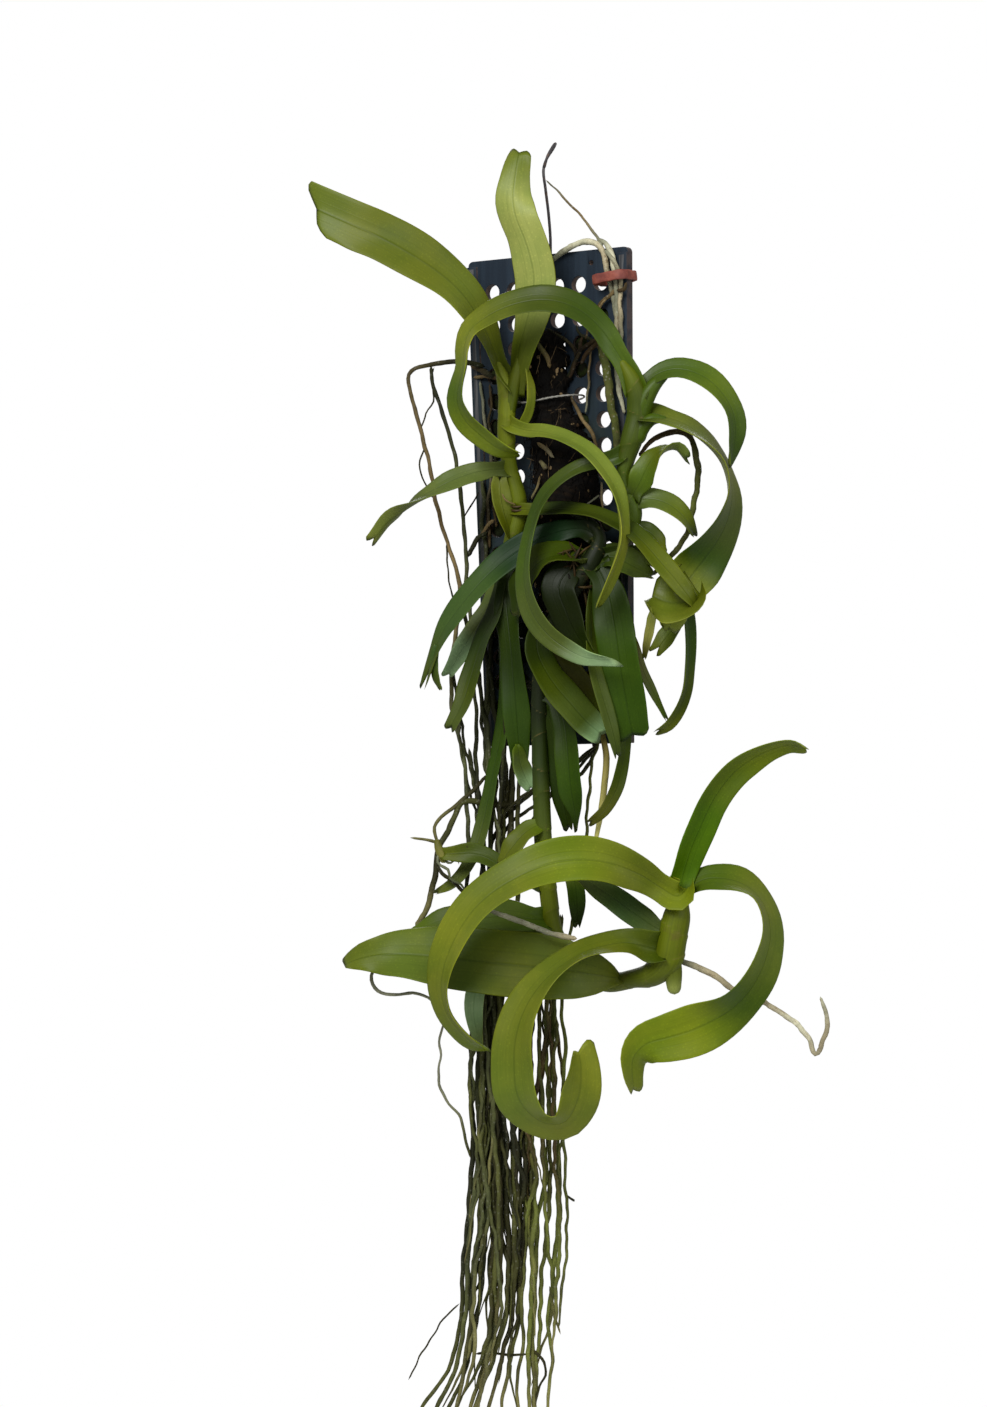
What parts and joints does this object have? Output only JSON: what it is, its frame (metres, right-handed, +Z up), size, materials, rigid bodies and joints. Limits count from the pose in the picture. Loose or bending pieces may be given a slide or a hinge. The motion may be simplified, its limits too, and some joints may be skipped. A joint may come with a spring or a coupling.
{
  "type": "mounted epiphytic orchid",
  "caption": "Epiphytic orchid without flowers, grown on a perforated plastic board: strap leaves on bent stems and long hanging roots, held up by a wire hook.",
  "frame": {"origin": "The inner top of the wire's hook, where the hanger holds the part.", "axes": "X to the right along the board's width, Y into the board away from the plant, Z up."},
  "size_m": [0.2072, 0.0989, 0.5667],
  "materials": {
    "board_plastic": "dark blue-black moulded plastic, faintly glossy, dusty in the corners",
    "wire": "weathered dark grey wire",
    "band": "faded red-brown rubber",
    "fibre": "matted black-brown fern fibre",
    "string": "weathered grey twine",
    "leaf_olive": "waxy yellow-green leaf with fine lengthwise veins",
    "leaf_deep_green": "waxy deep green leaf with fine lengthwise veins",
    "leaf_green": "waxy green leaf with fine lengthwise veins",
    "root_grey": "grey-white dry root coat with brown cracks",
    "root_dark": "dark brown-olive root",
    "root_beige": "pale beige dry root coat",
    "root_olive": "grey-green to olive root coat, browner to the right"
  },
  "bodies": {
    "root": {"board": "board_plastic", "hanger_wire": "wire", "root_band": "band", "fibre_pad": "fibre", "pad_string": "string", "leafy_stem_left": "leaf_olive", "leafy_stem_right": "leaf_deep_green", "leafy_stem_long": "leaf_green", "roots_over_rim": "root_grey", "root_loop_right": "root_dark", "root_front_right": "root_beige", "root_front_left": "root_grey", "hanging_roots": "root_olive"}
  },
  "joints": []
}
